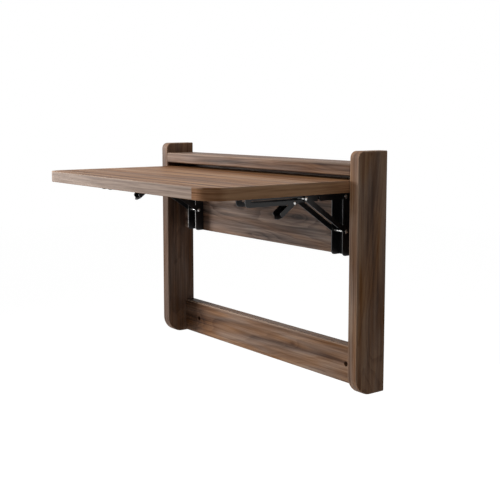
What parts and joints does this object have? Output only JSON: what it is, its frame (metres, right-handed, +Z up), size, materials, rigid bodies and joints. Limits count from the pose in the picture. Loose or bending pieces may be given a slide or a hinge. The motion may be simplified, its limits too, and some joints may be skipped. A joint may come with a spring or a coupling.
{
  "type": "wall mounted drop leaf table",
  "caption": "Narrow wooden wall frame with a top shelf and a leaf that is held level by folding steel brackets, and drops flat between the uprights.",
  "frame": {"origin": "middle of the four wall screw holes, on the wall's face", "axes": "+X to the viewer's right along the wall, +Y into the wall, +Z up"},
  "size_m": [0.752, 0.428, 0.5114],
  "materials": {
    "frame_wood": "satin walnut",
    "leaf_wood": "satin walnut",
    "dowel_wood": "plain beech",
    "black_steel": "black satin paint",
    "bright_steel": "bright zinc plate",
    "screw_steel": "black oxide"
  },
  "bodies": {
    "frame": {"left_upright": "frame_wood", "right_upright": "frame_wood", "top_shelf": "frame_wood", "bracket_rail": "frame_wood", "bottom_rail": "frame_wood", "frame_dowels": "dowel_wood", "left_wall_leg": "black_steel", "left_leg_screws": "screw_steel", "left_corner_pin": "bright_steel", "left_brace_pin": "bright_steel", "right_wall_leg": "black_steel", "right_leg_screws": "screw_steel", "right_corner_pin": "bright_steel", "right_brace_pin": "bright_steel"},
    "leaf": {"leaf": "leaf_wood", "left_table_arm": "black_steel", "left_arm_screws": "screw_steel", "left_lever_rivet": "bright_steel", "left_lever_spring": "bright_steel", "right_table_arm": "black_steel", "right_arm_screws": "screw_steel", "right_lever_rivet": "bright_steel", "right_lever_spring": "bright_steel"},
    "left_brace": {"left_outer_brace_bar": "black_steel", "left_inner_brace_bar": "black_steel", "left_slide_pin_caps": "bright_steel"},
    "left_slider": {"left_slide_pin": "bright_steel"},
    "left_lever": {"left_release_lever": "black_steel"},
    "right_brace": {"right_outer_brace_bar": "black_steel", "right_inner_brace_bar": "black_steel", "right_slide_pin_caps": "bright_steel"},
    "right_slider": {"right_slide_pin": "bright_steel"},
    "right_lever": {"right_release_lever": "black_steel"}
  },
  "joints": [
    {"name": "leaf_fold", "type": "hinge", "parent": "frame", "child": "leaf", "pos_m": [0, -0.0415, 0.16975], "axis": [1, 0, 0], "range_deg": [0, 90]},
    {"name": "left_brace_turn", "type": "hinge", "parent": "frame", "child": "left_brace", "pos_m": [-0.28, -0.0415, 0.09475], "axis": [1, 0, 0], "range_deg": [0, 123.48]},
    {"name": "left_pin_slide", "type": "slide", "parent": "leaf", "child": "left_slider", "axis": [0, -1, 0], "range_m": [0, 0.09846]},
    {"name": "left_lever_turn", "type": "hinge", "parent": "leaf", "child": "left_lever", "pos_m": [-0.28, -0.181, 0.16345], "axis": [-1, 0, 0], "range_deg": [0, 14], "stiffness_Nm_per_rad": 0.05, "springref_deg": -28.65},
    {"name": "right_brace_turn", "type": "hinge", "parent": "frame", "child": "right_brace", "pos_m": [0.28, -0.0415, 0.09475], "axis": [1, 0, 0], "range_deg": [0, 123.48]},
    {"name": "right_pin_slide", "type": "slide", "parent": "leaf", "child": "right_slider", "axis": [0, -1, 0], "range_m": [0, 0.09846]},
    {"name": "right_lever_turn", "type": "hinge", "parent": "leaf", "child": "right_lever", "pos_m": [0.28, -0.181, 0.16345], "axis": [-1, 0, 0], "range_deg": [0, 14], "stiffness_Nm_per_rad": 0.05, "springref_deg": -28.65}
  ],
  "couplings": [
    {"joint": "left_brace_turn", "follows": "leaf_fold", "ratio": 1.3719},
    {"joint": "left_pin_slide", "follows": "leaf_fold", "m_per_rad": 0.062676},
    {"joint": "right_brace_turn", "follows": "leaf_fold", "ratio": 1.3719},
    {"joint": "right_pin_slide", "follows": "leaf_fold", "m_per_rad": 0.062676}
  ]
}
